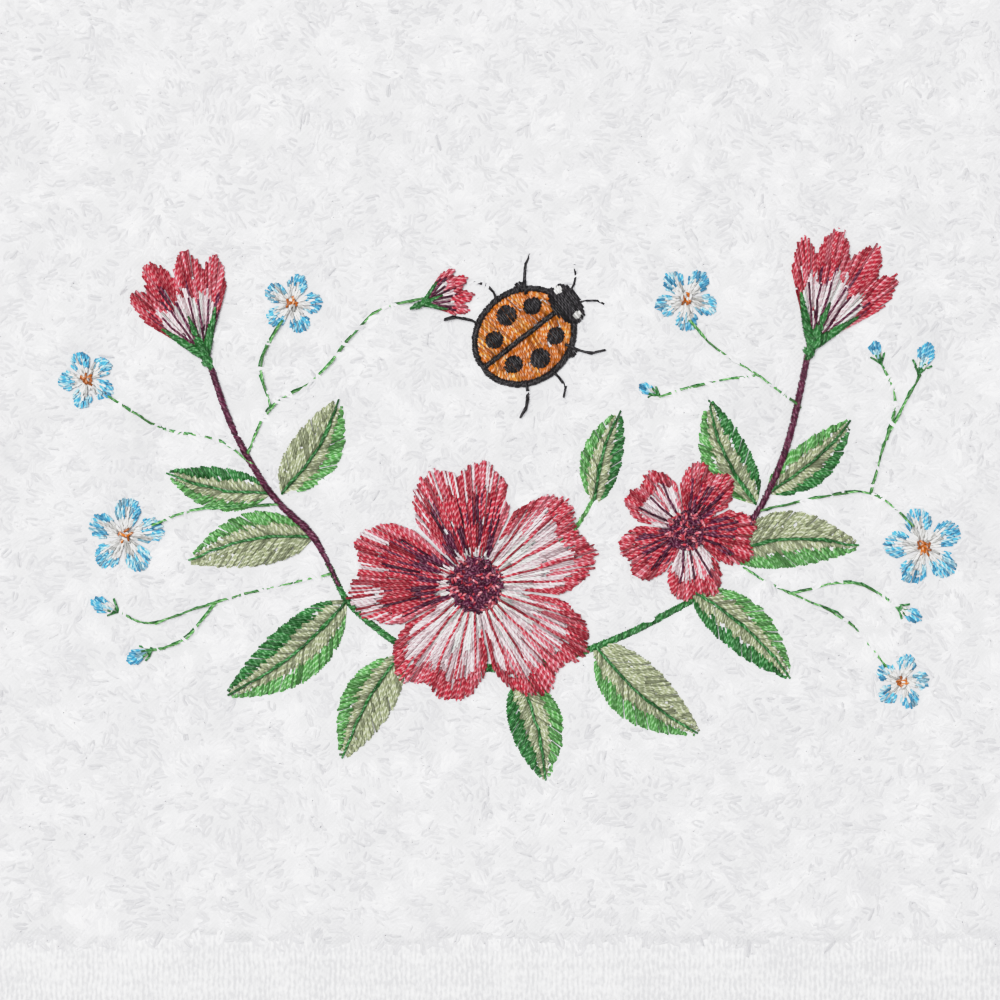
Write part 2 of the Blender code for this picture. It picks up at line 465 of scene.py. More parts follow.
def spun_thread(name, dark, body, light, roughness, sheen, twist, relief):
    """A plied thread whose plies turn around it once in every twist, and get a painted glint where they
    face up.

    Its colour lies between dark and body, and its painted glint is light; both differ from stitch to
    stitch.
    """
    material, tree, shader = new_material(name, roughness=roughness, sheen=sheen)
    shader.inputs["Specular IOR Level"].default_value = 0.3
    tone = add_node(tree, "ShaderNodeAttribute", attribute_name="tone").outputs["Fac"]
    yarn = add_node(tree, "ShaderNodeUVMap", uv_map="yarn").outputs["UV"]
    parts = add_node(tree, "ShaderNodeSeparateXYZ", {"Vector": yarn})
    along = worked_out(tree, "MULTIPLY", parts.outputs["X"], math.tau / twist)
    # No two stitches start at the same turn of their plies.
    begun = worked_out(tree, "MULTIPLY_ADD", tone, PLY_STARTS, along)
    turns = worked_out(tree, "MULTIPLY_ADD", parts.outputs["Y"], math.tau, begun)
    plies = worked_out(tree, "SINE", turns)
    # Painted glint: where a ply's swell faces up, the colour is mixed towards light, the more on lighter
    # stitches.
    painted_crest_light = {"Value": plies, "From Min": PLY_PAINTED_GLINT[0], "From Max": PLY_PAINTED_GLINT[1]}
    painted_crest_light = add_node(tree, "ShaderNodeMapRange", painted_crest_light).outputs["Result"]
    glint_paint = worked_out(tree, "MULTIPLY", painted_crest_light, tone)
    colour = mixed(tree, tone, (*dark, 1.0), (*body, 1.0))
    tree.links.new(mixed(tree, glint_paint, colour, (*light, 1.0)), shader.inputs["Base Color"])
    add_relief(tree, shader, plies, relief, strength=0.6)
    return material


def stitch_paths(start, end, height, dive, arch):
    """Five points for each stitch: deep in the cloth, one end, the middle, the other end and deep again."""
    length = np.linalg.norm(end - start, axis=1, keepdims=True)
    way = (end - start) / (length + 1e-9)
    turn = np.minimum(STITCH_TURN, STITCH_TURN_SHARE * length)
    flat = np.stack([start, start + way * turn, (start + end) / 2, end - way * turn, end], axis=1)
    rise = np.stack([-dive, 0.0 * arch, arch, 0.0 * arch, -dive], axis=1)
    return np.concatenate([flat, (height[:, None] + rise)[:, :, None]], axis=2)


def upright(count):
    return np.tile((0.0, 0.0, 1.0), (count, 1))


hem_thread = spun_thread("hem_thread", *HEM_THREAD_TONES_AND_GLINT, roughness=0.6, sheen=0.1, twist=0.9, relief=0.05)
for end, name in ((-1, "hem_stitching_embroidered_end"), (1, "hem_stitching_plain_end")):
    y = end * (half_length - HEM + HEM_STITCH_IN)
    first, last = left_edge(y) + HEM_ROW_ENDS, right_edge(y) - HEM_ROW_ENDS - HEM_STITCH
    starts = np.arange(first, last, HEM_STITCH + HEM_STITCH_GAP)
    count = len(starts)
    start = np.stack([starts, np.full(count, y)], axis=1)
    height = ground_top(starts + HEM_STITCH / 2, start[:, 1]) + HEM_LIFT * HEM_THREAD
    level = np.full(count, HEM_THREAD)
    paths = stitch_paths(start, start + (HEM_STITCH, 0.0), height, HEM_DIVE * level, HEM_ARCH * level)
    tones = np.random.default_rng(31).random(count)
    mesh = thread_mesh(name, paths, np.full((count, 3), HEM_THREAD), upright(count), tones)
    add_piece(name, mesh, hem_thread)


# ---- The embroidered stems -----------------------------------------------------------------------
# The spray is machine-embroidered in shiny rayon thread through the finished cloth. The thin stems
# are rows of running stitches that half sink into the pile, and the thick stalks are narrow columns
# of satin stitch.

MOTIF = (0.0, -174.8)  # the middle of the embroidery; the places below are told from here
THREAD = 0.24  # half the thread's thickness
THIN_THREAD = 0.20  # and where a single one is pulled tight
STITCH_GAP = 0.37  # from one stitch to the next beside it
SEWN_DEPTH = 0.95  # the lowest stitches lie this far below the tops of the loops
LAYER = 0.2
LAYER_SCATTER = 0.2  # in layers
STITCH_SCATTER = 0.05
THREAD_UNEVEN = 0.1  # the share by which a stitch may be thinner or thicker
DIVE = 0.8  # at its ends a stitch goes this far down into the cloth
ARCH = 0.3  # its middle stands up to this much higher than its ends, or this share of its length
ARCH_SHARE = 0.07
SHORTEST_STITCH = 0.6
RUN_SCATTER = 0.10  # a row of running stitches is this uneven, and its stitches overlap by this share
RUN_OVERLAP = 0.14
SEWN_CELL = 0.5  # the pressed cloth is mapped in squares of this size
SEWN_HALF = (96.0, 72.0)

sewn_over = np.zeros([int(2 * half / SEWN_CELL) for half in SEWN_HALF])


def mark_sewn(start, end):
    """Notes which squares of the cloth these stitches cover."""
    for share in np.linspace(0.0, 1.0, 24):
        spots = start + (end - start) * share + SEWN_HALF
        column, row = (spots / SEWN_CELL).astype(int).T
        sewn_over[np.clip(column, 0, sewn_over.shape[0] - 1), np.clip(row, 0, sewn_over.shape[1] - 1)] = 1.0


def rayon(name, colour):
    """Shiny embroidery thread of this colour, with painted glints paler than it. From stitch to stitch it
    is darker at random, down to about a third of it, partly its own uneven tone and partly painted shade.
    """
    glint_paint = 0.95 * max(colour) ** 0.75
    dark = tuple(0.35 * part for part in colour)
    # light is the colour of the painted glints.
    light = tuple(part + glint_paint * (1.0 - part) * (0.45 + 0.55 * part / max(colour)) for part in colour)
    return spun_thread(name, dark, colour, light, roughness=0.38, sheen=0.0, twist=1.15, relief=0.06)


def smooth_route(points, step):
    """Points at equal steps along a smooth curve through these."""
    points = np.array(points, float)
    ends = np.array([2 * points[0] - points[1], *points, 2 * points[-1] - points[-2]])
    share = np.linspace(0.0, 1.0, 24, endpoint=False)[:, None]
    pieces = []
    for a, b, c, d in zip(ends, ends[1:], ends[2:], ends[3:]):
        pull = (2 * a - 5 * b + 4 * c - d) * share**2 + (3 * b - a - 3 * c + d) * share**3
        pieces.append(b + ((c - a) * share + pull) / 2)
    curve = np.concatenate([*pieces, points[-1:]])
    run = np.concatenate([[0.0], np.cumsum(np.linalg.norm(np.diff(curve, axis=0), axis=1))])
    even = np.linspace(0.0, run[-1], max(2, round(run[-1] / step) + 1))
    return np.stack([np.interp(even, run, curve[:, axis]) for axis in (0, 1)], axis=1)


def aside(route):
    """The direction to the left of a route at each of its points."""
    along = np.gradient(route, axis=0)
    along /= np.linalg.norm(along, axis=1, keepdims=True) + 1e-9
    return np.stack([-along[:, 1], along[:, 0]], axis=1)


def running(points, stitch, layer, thread):
    """A row of running stitches. Every stitch here is its start, its end, its layer and its thread."""
    route = smooth_route(points, stitch)
    route = route + aside(route) * sewing.normal(0.0, RUN_SCATTER, (len(route), 1))
    overlap = (route[1:] - route[:-1]) * RUN_OVERLAP
    return [(*a, *b, layer, thread) for a, b in zip(route[:-1] - overlap, route[1:] + overlap)]


def satin(points, width, layer, thread, slant=0.5):
    """A column of stitches side by side across a route. The width may differ along it."""
    route = smooth_route(points, STITCH_GAP)
    shares = np.linspace(0, 1, len(route))
    reach = aside(route) * (np.interp(shares, np.linspace(0, 1, len(width)), width) / 2)[:, None]
    lead = np.gradient(route, axis=0) * slant / STITCH_GAP
    return [(*a, *b, layer, thread) for a, b in zip(route - reach - lead, route + reach + lead)]


def sew(name, stitches, threads, thickness=THREAD):
    """Makes a list of stitches into a piece."""
    table = np.array(stitches)
    table = table[np.hypot(*(table[:, 2:4] - table[:, 0:2]).T) > SHORTEST_STITCH]
    count = len(table)
    table[:, 0:4] += sewing.normal(0.0, STITCH_SCATTER, (count, 4))
    start, end = table[:, 0:2], table[:, 2:4]
    layer = table[:, 4] + sewing.uniform(-LAYER_SCATTER, LAYER_SCATTER, count)
    mark_sewn(start, end)
    start, end = start + MOTIF, end + MOTIF
    length = np.linalg.norm(end - start, axis=1)
    middle = (start + end) / 2
    height = cloth_top(middle[:, 0], middle[:, 1]) - SEWN_DEPTH + LAYER * layer
    paths = stitch_paths(start, end, height, np.full(count, DIVE), np.minimum(ARCH_SHARE * length, ARCH))
    uneven = sewing.uniform(1.0 - THREAD_UNEVEN, 1.0 + THREAD_UNEVEN, (count, 1))
    radii = np.full((count, 3), thickness) * uneven
    tones = sewing.uniform(0.0, 1.0, count)
    mesh = thread_mesh(name, paths, radii, upright(count), tones, table[:, 5])
    return add_piece(name, mesh, threads)


sewing = np.random.default_rng(41)
deep_green = rayon("deep_green_rayon", (0.022, 0.160, 0.030))
mid_green = rayon("mid_green_rayon", (0.100, 0.330, 0.075))
plum = rayon("plum_rayon", (0.090, 0.008, 0.036))

# The thin stems: each a route through these places
THIN_STEMS = (
    ((-47, 3), (-54, 8), (-64, 10), (-74, 16)),
    ((-42, -4), (-52, -4.6), (-60, -5.5), (-66, -8)),
    ((-33, -17), (-42, -19), (-54, -22), (-66, -26), (-72, -24)),
    ((-54, -22), (-60, -29), (-66, -31)),
    ((-48.5, 5), (-44, 14), (-36, 19), (-30, 26), (-24, 32), (-16, 34)),
    ((-44, 14), (-46, 22), (-42, 30)),
    ((46, -5.5), (56, -3), (67, -2), (75, -8)),
    ((67, -2), (70, 8), (76, 20)),
    ((70, 8), (71.5, 16), (69, 22)),
    ((43.5, -16), (52, -20.5), (62, -25), (70, -34)),
    ((52, -20.5), (64, -18.5), (72, -23)),
    ((54, 14), (46, 20), (38, 25), (33.5, 30)),
    ((46, 20), (37, 18.5), (28, 16)),
)
# Each is sewn twice. The two rows' stitch length, layer, thread and place beside the route:
THIN_ROWS = ((1.9, 4.0, 0, (0.0, 0.0)), (2.4, 4.3, 1, (0.16, -0.12)))
# The thick stems, which are the main one, a leaf's and two rosebuds': route, widths, layer and thread
THICK_STEMS = (
    (((-33.3, -15.2), (-28, -24), (-14, -33), (4, -34), (20, -29), (34, -22)), (1.3, 1.7, 1.4), 1.3, 0),
    (((6, -14), (12, -9), (16, -3)), (0.9, 0.9), 1.3, 1),
    (
        ((-31.4, -19), (-33.8, -14), (-37, -9), (-44, -2), (-51, 10), (-56, 24)),
        (0.5, 1.5, 1.3, 1.3, 1.3, 1.3),
        4.5,
        2,
    ),
    (((44.8, -7.4), (47.6, -3), (52, 8), (56, 26)), (1.2, 1.4, 1.3), 4.5, 2),
)

thin_stems = []
for route in THIN_STEMS:
    for stitch, layer, thread, (right, up) in THIN_ROWS:
        thin_stems += running([(x + right, y + up) for x, y in route], stitch, layer, thread)
sew("embroidered_thin_stems", thin_stems, [deep_green, mid_green], THIN_THREAD)
thick_stems = []
for one in THICK_STEMS:
    thick_stems += satin(*one)
sew("embroidered_thick_stems", thick_stems, [deep_green, mid_green, plum])


# ---- The embroidered leaves ----------------------------------------------------------------------
# Each leaf is two rows of slanting stitches on each side of its midrib: a pale inner row, and a green
# outer row whose ends make the toothed edge. A dark running stitch marks the midrib.

LEAF_ROWS = ((0.0, 0.58), (0.44, 1.0))  # shares of the way from the midrib to the edge
LEAF_SLANT = 0.95  # how far a stitch runs forward, as a share of how far it runs outward
LEAF_TOOTH = 2.6  # from one tooth to the next
LEAF_TOOTH_DEPTH = 0.45
LEAF_GAP = 1.1 * STITCH_GAP
LEAF_SCATTER = 0.2  # of that gap
LEAF_RAGGED = 0.14  # how unevenly the two rows run into each other, as a share of the way to the edge
LEAF_RISE = 0.02  # every stitch runs this share of the leaf's length further forward
LEAF_AHEAD = 0.12  # its slant follows the leaf's width this far ahead of its foot
LEAF_SHAPE = (0.8, 0.85)  # the less the first, the nearer to its base it is widest; the second rounds it
LEAF_LAYER = 0.4  # how far the outer row lies over the inner one, in layers
MIDRIB_END = 0.96  # the share of the leaf's length that it runs over, through so many spots
MIDRIB_SPOTS = 6
MIDRIB_ROWS = ((6, 2.2, 2.2), (5, 1.7, 2.3))  # each row's number of spots, its stitch and its layer

sage = rayon("sage_rayon", (0.360, 0.400, 0.230))

# Where each leaf starts and ends, its width, how far it bends to the left, its layer, and whether its left
# half is pale throughout
LEAVES = (
    ((-30, -22), (-53, -40), 11.0, 1.8, 0.0, False),
    ((-20, -32), (-31, -52), 9.5, -1.2, 0.4, True),
    ((2, -36), (7, -56), 10.0, 1.0, 0.0, False),
    ((16, -30), (36, -47), 11.0, -1.6, 0.4, True),
    ((34, -20), (53, -37), 9.5, 1.4, 0.8, False),
    ((40, -13), (66, -12), 10.5, 2.0, 0.2, True),
    ((48, -2), (64, 12), 8.0, -1.2, 0.6, False),
    ((46, -4), (37, 16), 9.0, 1.6, 0.3, False),
    ((-36, -10), (-60, -15), 10.0, -1.8, 0.6, True),
    ((-44, -2), (-64, 2), 8.0, 1.2, 0.1, False),
    ((-42, -2), (-31, 16), 9.5, -1.4, 0.5, True),
    ((16, -4), (21, 14), 7.5, 1.0, 0.2, False),
)


def leaf_half_width(share, width):
    """Half of a leaf's width at this share of the way from its base to its tip."""
    widest, rounded = LEAF_SHAPE
    return width / 2 * np.sin(math.pi * np.clip(share, 0.0, 1.0) ** widest) ** rounded


def leaf(base, tip, width, bend, layer, pale_left):
    """One leaf's stitches, side by side from its base to its tip, and then its midrib."""
    base, tip = np.array(base, float), np.array(tip, float)
    length = np.linalg.norm(tip - base)
    way = (tip - base) / length
    left = np.array([-way[1], way[0]])
    found = []

    def spot(share, outward):
        share = np.clip(share, 0.0, 1.0)
        return base + way * length * share + left * (bend * math.sin(math.pi * share) + outward)

    for side in (-1, 1):
        for level, (near, far) in enumerate(LEAF_ROWS):
            steps = int(length / LEAF_GAP)
            for share in (np.arange(steps) + sewing.uniform(-LEAF_SCATTER, LEAF_SCATTER, steps)) / steps:
                rise = LEAF_SLANT * leaf_half_width(share + LEAF_AHEAD, width) / length + LEAF_RISE
                into_tooth = share * length / LEAF_TOOTH % 1.0
                tooth = LEAF_TOOTH_DEPTH * into_tooth * level * math.sin(math.pi * share)
                start_share = near + (sewing.uniform(-LEAF_RAGGED, LEAF_RAGGED) if level else 0.0)
                end_share = far + (0.0 if level else sewing.uniform(-LEAF_RAGGED, LEAF_RAGGED))
                reach = leaf_half_width(share + rise, width) + tooth
                start = spot(share + rise * start_share, side * reach * start_share)
                end = spot(share + rise * end_share, side * reach * end_share)
                pale = level == 0 or (pale_left and side > 0)
                green = 1 if (side < 0) == pale_left else 0
                found.append((*start, *end, layer + level * LEAF_LAYER, 2 if pale else green))
    midrib = [spot(share, 0.0) for share in np.linspace(0.0, MIDRIB_END, MIDRIB_SPOTS)]
    for spots, stitch, over in MIDRIB_ROWS:
        found += running(midrib[:spots], stitch, layer + over, 0)
    return found


leaves = []
for one in LEAVES:
    leaves += leaf(*one)
sew("embroidered_leaves", leaves, [deep_green, mid_green, sage])


# ---- The large rose ------------------------------------------------------------------------------
# A five-petalled wild rose. Each petal is a fan of long and short stitches, in rows from the white
# base through pale pink to a crimson edge, with crimson veins sewn over it. Plum knots fill the
# middle.

pale_pink = rayon("pale_pink_rayon", (0.840, 0.620, 0.660))
crimson = rayon("crimson_rayon", (0.470, 0.020, 0.042))
off_white = rayon("off_white_rayon", (0.840, 0.830, 0.800))
rose_pink = rayon("rose_pink_rayon", (0.640, 0.110, 0.150))
ROSE_THREADS = [off_white, pale_pink, crimson, plum, rose_pink]

ROSE_PLACE = (-6.0, -19.0)
ROSE_LENGTH = 24.0
ROSE_SPREAD = 34.5  # half of a petal's angle, in degrees
ROSE_EYE = 5.0
ROSE_EYE_WIDTHS = (2.0, 8.6, 9.8, 8.6, 2.0)
ROSE_LAYERS = (2.0, 3.8, 4.0, 4.6)  # of its petals, their veins, the satin of its eye and the knots on that
PETAL_LAYER = 0.4  # from one petal to the next, and from one row of a petal to the next
ROW_LAYER = 0.3
PETAL_NOTCH = 0.11  # how deep a petal's notch is, and how wide
PETAL_NOTCH_WIDTH = 0.22
PETAL_FALL = 0.36  # how much shorter it is at its sides
PETAL_RAGGED = 0.07  # how unevenly its rows run into each other, and its outermost row ends
OUTER_RAGGED = (-0.035, 0.02)
FAN_SCATTER = 0.3  # of the way from one stitch to the next
FAN_START = 0.04  # no stitch starts nearer than this share of the length to the flower's middle
FAN_SIDE = 0.9  # a petal's sides lean more than this, and lie in the rows that start beyond this share
FAN_SIDE_FROM = 0.4
VEIN_STITCH = 3.2
VEIN_BEND = 0.05  # in radians
KNOT_REACH = (0.55, 0.95)
KNOT_LAYERS = 2.5
ROSE_KNOTS = 300
ROSE_KNOT_THREADS = (3, 3, 3, 3, 3, 3, 4, 3, 2)
# Each petal's angle in degrees, its length as a share, and whether its base is dark
ROSE_PETALS = (
    (100.0, 0.98, True),
    (173.0, 1.02, True),
    (244.0, 0.96, False),
    (316.0, 1.03, False),
    (28.0, 1.00, False),
)
# The rows of a light petal and of a dark one: from and to, as shares of the petal's length, and the threads
# that are mixed in it, each as often as it is listed
LIGHT_ROWS = (
    (0.12, 0.36, (0,)),
    (0.30, 0.62, (0, 1, 1)),
    (0.54, 0.86, (1, 1, 1, 4)),
    (0.80, 1.00, (2, 2, 2, 4)),
)
DARK_ROWS = (
    (0.12, 0.34, (0, 1)),
    (0.28, 0.56, (3, 3, 2)),
    (0.48, 0.80, (2, 2, 3, 2)),
    (0.74, 1.00, (4, 2, 2, 1)),
)
# Their veins: how each leans, from one side of the petal at -1 to the other at 1, and from and to
LIGHT_VEINS = ((-0.68, -0.34, 0.02, 0.36, 0.7), 0.2, 0.80)
DARK_VEINS = ((-0.5, -0.1, 0.35), 0.2, 0.42)


def petal_reach(lean):
    """How far a petal reaches at this share of its spread: rounded, with a shallow notch in the middle."""
    return 1.0 - PETAL_FALL * abs(lean) ** 3.0 - PETAL_NOTCH * math.exp(-((lean / PETAL_NOTCH_WIDTH) ** 2))


def away(place, out, way):
    """The place this far out from another, in this direction."""
    return place[0] + out * math.cos(way), place[1] + out * math.sin(way)


def fan(place, angle, spread, length, rows, layer, edge=None, gap=STITCH_GAP, ragged=PETAL_RAGGED,
        reach=petal_reach):
    """One petal: rows of stitches that spread from a flower's middle. edge is the thread of its sides."""
    found = []
    for level, (near, far, threads) in enumerate(rows):
        count = max(3, round(2 * math.radians(spread) * length * (0.2 * near + 0.8 * far) / gap))
        scatter = OUTER_RAGGED if level == len(rows) - 1 else (-ragged, ragged)
        for step in range(count):
            lean = (step + 0.5 + sewing.uniform(-FAN_SCATTER, FAN_SCATTER)) / count * 2.0 - 1.0
            way = math.radians(angle + lean * spread)
            limit = length * reach(lean)
            inner = max(limit * (near + sewing.uniform(-ragged, ragged)), FAN_START * length)
            outer = limit * (far + sewing.uniform(*scatter))
            at_edge = edge is not None and abs(lean) > FAN_SIDE and near > FAN_SIDE_FROM
            thread = edge if at_edge else threads[int(sewing.integers(len(threads)))]
            ends = (*away(place, inner, way), *away(place, outer, way))
            found.append((*ends, layer + ROW_LAYER * level, thread))
    return found


def veins(place, angle, spread, length, leans, near, far, layer, thread):
    """Thin lines of running stitches over a petal, from its base towards its edge."""
    found = []
    for lean in leans:
        way = math.radians(angle + lean * spread)
        bent = way + VEIN_BEND * lean
        reach = length * petal_reach(lean)
        halfway = ((near + far) / 2 * reach, way * 0.5 + bent * 0.5)
        spots = [(near * reach, way), halfway, (far * reach, bent)]
        found += running([away(place, out, turn) for out, turn in spots], VEIN_STITCH, layer, thread)
    return found


def knots(place, radius, count, layer, threads):
    """Short stitches every way over a round middle, with each thread as often as it is listed."""
    found = []
    for step in range(count):
        golden_turn = step * math.pi * (3.0 - math.sqrt(5.0))
        spot = away(place, radius * math.sqrt((step + 0.5) / count), golden_turn)
        way, reach = sewing.uniform(0.0, math.tau), sewing.uniform(*KNOT_REACH)
        thread = threads[int(sewing.integers(len(threads)))]
        height = layer + sewing.uniform(0.0, KNOT_LAYERS)
        found.append((*away(spot, -reach, way), *away(spot, reach, way), height, thread))
    return found


rose = []
petal_layer, vein_layer, eye_layer, knot_layer = ROSE_LAYERS
for number, (angle, share, dark) in enumerate(ROSE_PETALS):
    petal = (ROSE_PLACE, angle, ROSE_SPREAD, ROSE_LENGTH * share)
    rows, edge, lines = (DARK_ROWS, 4, DARK_VEINS) if dark else (LIGHT_ROWS, 2, LIGHT_VEINS)
    rose += fan(*petal, rows, petal_layer + PETAL_LAYER * number, edge)
    rose += veins(*petal, *lines, vein_layer + PETAL_LAYER * number, 2)
eye = [(ROSE_PLACE[0], ROSE_PLACE[1] + out) for out in (-ROSE_EYE, ROSE_EYE)]
rose += satin(eye, ROSE_EYE_WIDTHS, eye_layer, 3)
rose += knots(ROSE_PLACE, ROSE_EYE, ROSE_KNOTS, knot_layer, ROSE_KNOT_THREADS)
sew("large_rose", rose, ROSE_THREADS)


# ---- The small rose ------------------------------------------------------------------------------
# A half-open rose of the same threads, mostly crimson with a plum base, sewn in shorter fans of
# stitches.

SMALL_ROSE_PLACE = (33.0, -9.0)
SMALL_ROSE_LENGTH = 13.5
SMALL_ROSE_TURN = 64.0  # its first petal's angle and half of each petal's angle, in degrees
SMALL_ROSE_SPREAD = 34.0
SMALL_ROSE_EYE = 3.5
SMALL_ROSE_KNOTS = 190
SMALL_ROSE_KNOT_THREADS = (3, 3, 3, 3, 4, 2)
SMALL_ROSE_VEINS = ((-0.5, 0.0, 0.5), 0.3, 0.75)
SMALL_ROSE_VEIN_LAYER = 3.6
SMALL_ROSE_ROWS = ((0.16, 0.52, (3, 3, 2)), (0.42, 0.78, (2, 2, 3)), (0.70, 1.0, (4, 2, 2)))
SMALL_ROSE_PALE = ((0.16, 0.44, (1, 0)), (0.36, 0.78, (1, 1, 1, 4)), (0.72, 1.0, (2, 2, 4)))

small_rose = []
for number in range(5):
    rows = SMALL_ROSE_PALE if number in (1, 3) else SMALL_ROSE_ROWS
    petal = (SMALL_ROSE_PLACE, SMALL_ROSE_TURN + 72.0 * number, SMALL_ROSE_SPREAD, SMALL_ROSE_LENGTH)
    small_rose += fan(*petal, rows, petal_layer + PETAL_LAYER * number, edge=2)
    small_rose += veins(*petal, *SMALL_ROSE_VEINS, SMALL_ROSE_VEIN_LAYER + PETAL_LAYER * number, 3)
small_rose += knots(SMALL_ROSE_PLACE, SMALL_ROSE_EYE, SMALL_ROSE_KNOTS, knot_layer, SMALL_ROSE_KNOT_THREADS)
sew("small_rose", small_rose, ROSE_THREADS)


# ---- The rosebuds --------------------------------------------------------------------------------
# Opening buds on the stalks: crimson petals behind, pale ones with plum veins in front, and green
# sepals sewn over their base in narrow pointed columns of satin stitch.

# Each bud's base, the angle in degrees that it points, and its length
BUDS = (
    ((-56.0, 23.0), 112.0, 21.0),
    ((56.0, 25.0), 66.0, 23.0),
    ((-16.0, 33.0), 20.0, 10.0),
)
# A bud's petals, back ones first: their tilt in degrees, half angle, length as a share, and whether pale
BUD_PETALS = (
    (-27.0, 11.0, 0.92, False),
    (27.0, 11.0, 0.90, False),
    (-10.0, 12.0, 1.00, False),
    (10.0, 12.0, 1.00, False),
    (-20.0, 11.0, 0.66, True),
    (20.0, 11.0, 0.66, True),
    (0.0, 13.0, 0.70, True),
)
BUD_DARK_ROWS = ((0.10, 0.52, (3, 3, 2)), (0.40, 0.80, (2, 2, 3, 4)), (0.70, 1.0, (4, 2, 2)))
BUD_PALE_ROWS = ((0.10, 0.50, (0, 1)), (0.40, 1.0, (1, 1, 0)))
BUD_LAYERS = (1.6, 3.4, 6.0)  # of its petals, their veins and its sepals
BUD_VEINS = ((-0.4, 0.4), 0.2, 0.8)
# Each sepal's tilt in degrees and its length, as a share of the bud's
SEPALS = ((-34.0, 0.42), (0.0, 0.36), (34.0, 0.42))
SEPAL_WIDTH = 1.35 / 20.0  # as a share of the bud's length
SEPAL_SHAPE = (0.8, 1.3, 1.0)  # its widths, as shares of that, before it ends in a point
SEPAL_POINT = 0.3
SEPAL_FOOT = 1.6  # it starts this far down the stalk
SEPAL_SLANT = 0.9


def bud_reach(lean):
    """How far a bud's petal reaches: pointed in the middle and falling away to its sides."""
    return 1.0 - 0.30 * abs(lean) ** 1.6


buds = []
petal_layer, vein_layer, sepal_layer = BUD_LAYERS
for place, angle, length in BUDS:
    for number, (tilt, spread, share, pale) in enumerate(BUD_PETALS):
        petal = (place, angle + tilt, spread, length * share)
        rows = BUD_PALE_ROWS if pale else BUD_DARK_ROWS
        buds += fan(*petal, rows, petal_layer + ROW_LAYER * number, reach=bud_reach)
        if pale:
            buds += veins(*petal, *BUD_VEINS, vein_layer + ROW_LAYER * number, 3)
    foot = away(place, -SEPAL_FOOT, math.radians(angle))
    for tilt, share in SEPALS:
        tip = away(place, length * share, math.radians(angle + tilt))
        widths = [part * SEPAL_WIDTH * length for part in SEPAL_SHAPE] + [SEPAL_POINT]
        buds += satin([foot, place, tip], widths, sepal_layer, 5, SEPAL_SLANT)
sew("rosebuds", buds, ROSE_THREADS + [deep_green])


# ---- The forget-me-nots --------------------------------------------------------------------------
# Small five-petalled flowers and buds at the ends of the thin stems, sewn loosely in sky blue around
# a white middle with an orange eye, so that the pile shows between their stitches.

sky_blue = rayon("sky_blue_rayon", (0.075, 0.420, 0.720))
pale_blue = rayon("pale_blue_rayon", (0.330, 0.640, 0.820))
orange = rayon("orange_rayon", (0.620, 0.150, 0.008))
BLUE_PETAL_ROWS = ((0.16, 0.62, (1,)), (0.48, 0.84, (2, 1, 0)), (0.66, 1.0, (0, 0, 2)))
BLUE_BUD_ROWS = ((0.2, 0.7, (1, 2)), (0.5, 1.0, (0,)))
BLUE_SPREAD = 29.0  # half of a petal's angle and of a bud's, in degrees
BLUE_BUD_SPREAD = 22.0
BLUE_GAP = 0.5  # from one stitch to the next in them
BLUE_BUD_GAP = 0.42
BLUE_RAGGED = 0.12
BLUE_EYE = 0.16  # its radius, as a share of the flower's
BLUE_SEPALS = (-40.0, -14.0, 14.0, 40.0)  # their tilts in degrees, their length as a share, their stitch
BLUE_SEPAL = 0.45
BLUE_SEPAL_STITCH = 1.5
BLUE_LAYERS = (1.6, 2.0, 2.4)  # of the petals, of the buds, and of what is sewn over either
BLUE_KNOTS = 12
BLUE_KNOT_THREADS = (3, 3, 1)
# Each flower's place, its radius and its turn in degrees
BLUE_FLOWERS = (
    ((-71.0, -10.0), 7.4, 12.0),
    ((-78.0, 19.0), 5.6, 40.0),
    ((-40.0, 33.0), 5.8, 75.0),
    ((77.0, -12.0), 7.6, 30.0),
    ((33.0, 34.0), 6.2, 55.0),
    ((73.0, -37.0), 5.4, 5.0),
)
# Each bud's base, the angle that it points in degrees and its length
BLUE_BUDS = (
    ((-72.0, -24.0), 160.0, 6.0),
    ((-66.0, -31.0), 205.0, 5.5),
    ((76.0, 20.0), 70.0, 6.5),
    ((69.0, 22.0), 110.0, 5.0),
    ((72.0, -23.0), 330.0, 5.5),
    ((28.0, 16.0), 150.0, 4.5),
)


def round_reach(lean):
    """How far a forget-me-not's petal reaches: rounded all over."""
    return 1.0 - 0.30 * abs(lean) ** 2.2


blue = []
petal_layer, bud_layer, top_layer = BLUE_LAYERS
for place, radius, turn in BLUE_FLOWERS:
    for number in range(5):
        petal = (place, turn + 72.0 * number, BLUE_SPREAD, radius)
        blue += fan(*petal, BLUE_PETAL_ROWS, petal_layer, None, BLUE_GAP, BLUE_RAGGED, round_reach)
    blue += knots(place, BLUE_EYE * radius, BLUE_KNOTS, top_layer, BLUE_KNOT_THREADS)
for place, angle, length in BLUE_BUDS:
    bud = (place, angle, BLUE_BUD_SPREAD, length)
    blue += fan(*bud, BLUE_BUD_ROWS, bud_layer, gap=BLUE_BUD_GAP, reach=bud_reach)
    for tilt in BLUE_SEPALS:
        tip = away(place, BLUE_SEPAL * length, math.radians(angle + tilt))
        blue += running([place, tip], BLUE_SEPAL_STITCH, top_layer, 4)
sew("forget_me_nots", blue, [sky_blue, off_white, pale_blue, orange, deep_green])


# ---- The ladybird --------------------------------------------------------------------------------
# Its wing cases are orange satin stitch that slants out from the middle line, edged and spotted in
# black, and its head, legs and feelers are black.

